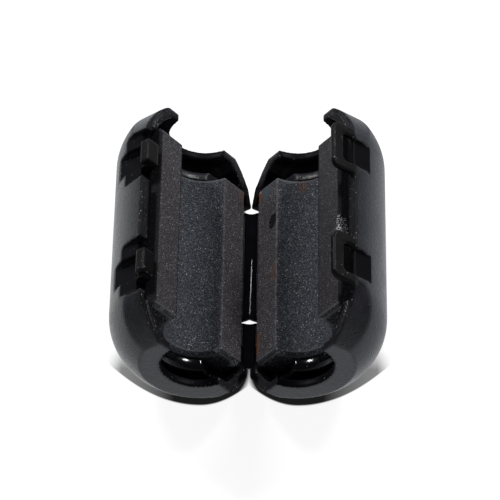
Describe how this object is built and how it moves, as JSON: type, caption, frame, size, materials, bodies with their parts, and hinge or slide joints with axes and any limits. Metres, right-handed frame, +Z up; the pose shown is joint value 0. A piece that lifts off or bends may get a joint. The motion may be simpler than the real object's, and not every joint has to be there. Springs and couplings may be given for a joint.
{
  "type": "clip on ferrite bead",
  "caption": "Split ferrite bead for a round cable: two half cores in a hinged plastic case with snap loops and catches, lying open.",
  "frame": {"origin": "on the floor, under the middle of the hinge line", "axes": "+Y along the hinge and the cable channels, +Z up, +X toward the half that carries the loops"},
  "size_m": [0.0286, 0.0302, 0.0181],
  "materials": {
    "case": "satin moulded nylon",
    "film": "smooth thin film of the same nylon",
    "core": "sintered, dark, with fine sparkle"
  },
  "bodies": {
    "catch_half": {"case_catch_half": "case", "core_catch_half": "core", "hinge_straps": "film"},
    "loop_half": {"case_loop_half": "case", "core_loop_half": "core"}
  },
  "joints": [
    {"name": "film_hinge", "type": "hinge", "parent": "catch_half", "child": "loop_half", "pos_m": [0, 0, 0.00279], "axis": [0, 1, 0], "range_deg": [-75, 105], "stiffness_Nm_per_rad": 0.03, "deforming": ["hinge_straps"]}
  ]
}
